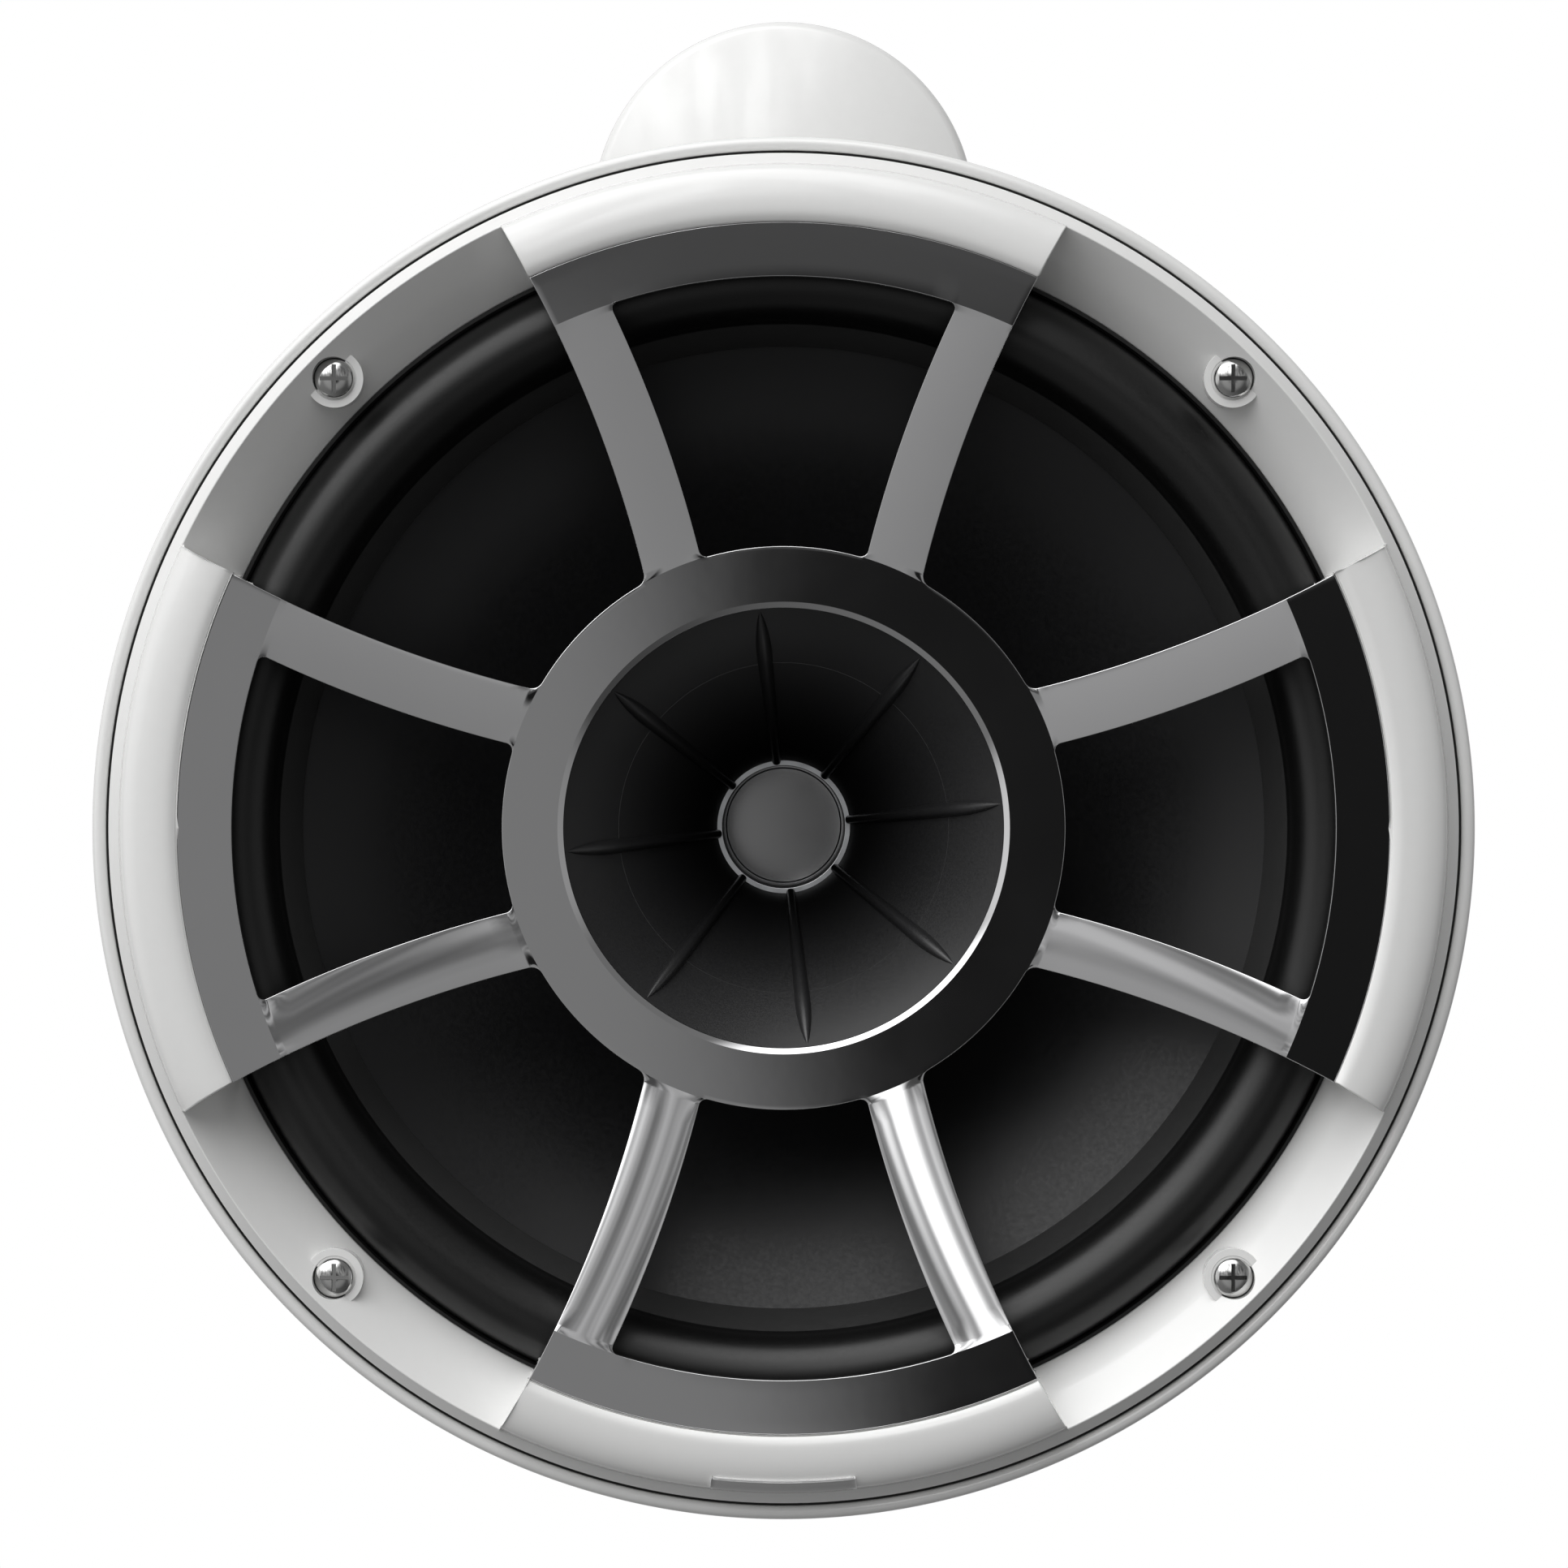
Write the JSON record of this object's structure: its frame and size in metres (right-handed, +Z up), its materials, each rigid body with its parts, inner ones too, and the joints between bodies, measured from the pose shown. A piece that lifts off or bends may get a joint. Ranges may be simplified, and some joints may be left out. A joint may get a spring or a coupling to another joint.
{
  "type": "tower pod speaker",
  "caption": "Round white speaker pod with chrome spoked grille, ribbed centre horn, coaxial cone driver, and a swivelling split clamp that grips a round tower tube.",
  "frame": {"origin": "centre of the clamp's tube seat, on the tower tube's axis", "axes": "+X along the tower tube, -Y the way the speaker faces, +Z up; the speaker's own axis runs along Y, 127.4 mm below the origin"},
  "size_m": [0.2756, 0.1992, 0.3048],
  "materials": {
    "white_aluminium": "white gloss powder coat on cast aluminium",
    "white_gloss": "white gloss moulded shell",
    "chrome": "bright chrome plating",
    "stainless": "polished stainless steel",
    "black_rubber": "satin black rubber",
    "liner_rubber": "matt grey-black rubber",
    "cone_black": "satin black coated cone",
    "horn_black": "fine-textured black moulding",
    "basket_black": "black enamel",
    "bare_steel": "zinc-plated steel",
    "ferrite": "dark grey sintered ferrite",
    "copper": "enamelled copper wire",
    "former_alu": "thin rolled former",
    "spider_cloth": "resin-treated corrugated cloth",
    "plug_grey": "grey moulding",
    "board_green": "green circuit board",
    "part_black": "black moulded nylon",
    "film_yellow": "film wrap",
    "ceramic_white": "cement body",
    "felt_grey": "needled fibre wadding",
    "acetal": "dark acetal"
  },
  "bodies": {
    "clamp": {"clamp_cap": "white_aluminium", "clamp_saddle": "white_aluminium", "liner_upper": "liner_rubber", "liner_lower": "liner_rubber", "clamp_screws": "stainless", "swivel_bolt": "stainless", "swivel_washer": "acetal", "thrust_washer": "stainless", "swivel_nut": "stainless"},
    "pod": {"pod_shell": "white_gloss", "lip_gasket": "black_rubber", "grille_ring": "white_gloss", "grille_spider": "chrome", "plate_screws": "stainless", "grille_screws": "stainless", "driver_screws": "stainless", "badge_blank": "chrome", "front_gasket": "black_rubber", "basket_gasket": "black_rubber", "basket": "basket_black", "frame_bolts": "bare_steel", "top_plate": "bare_steel", "magnet": "ferrite", "back_plate": "bare_steel", "horn": "horn_black", "throat_tube": "bare_steel", "driver_bolts": "bare_steel", "hf_yoke": "bare_steel", "hf_magnet": "ferrite", "hf_top_plate": "bare_steel", "phase_plug": "plug_grey", "hf_cover": "part_black", "hf_screws": "bare_steel", "terminal_block": "part_black", "crossover_board": "board_green", "capacitor": "film_yellow", "inductor": "copper", "resistor": "ceramic_white", "feed_socket": "part_black", "harness": "part_black", "damping_lining": "felt_grey"},
    "cone_assembly": {"surround": "black_rubber", "cone": "cone_black", "coil_former": "former_alu", "voice_coil": "copper", "spider": "spider_cloth", "tinsel_leads": "copper"},
    "diaphragm": {"hf_diaphragm": "former_alu", "hf_coil": "copper", "hf_suspension": "spider_cloth"}
  },
  "joints": [
    {"name": "pod_swivel", "type": "hinge", "parent": "clamp", "child": "pod", "pos_m": [0, 0, 0], "axis": [0, 0, 1], "range_deg": [-30, 30]},
    {"name": "cone_travel", "type": "slide", "parent": "pod", "child": "cone_assembly", "axis": [0, -1, 0], "range_m": [-0.006, 0.006], "stiffness_N_per_m": 3000, "deforming": ["surround", "spider", "tinsel_leads"]},
    {"name": "diaphragm_travel", "type": "slide", "parent": "pod", "child": "diaphragm", "axis": [0, -1, 0], "range_m": [-0.00035, 0.00035], "stiffness_N_per_m": 300, "deforming": ["hf_suspension"]}
  ]
}
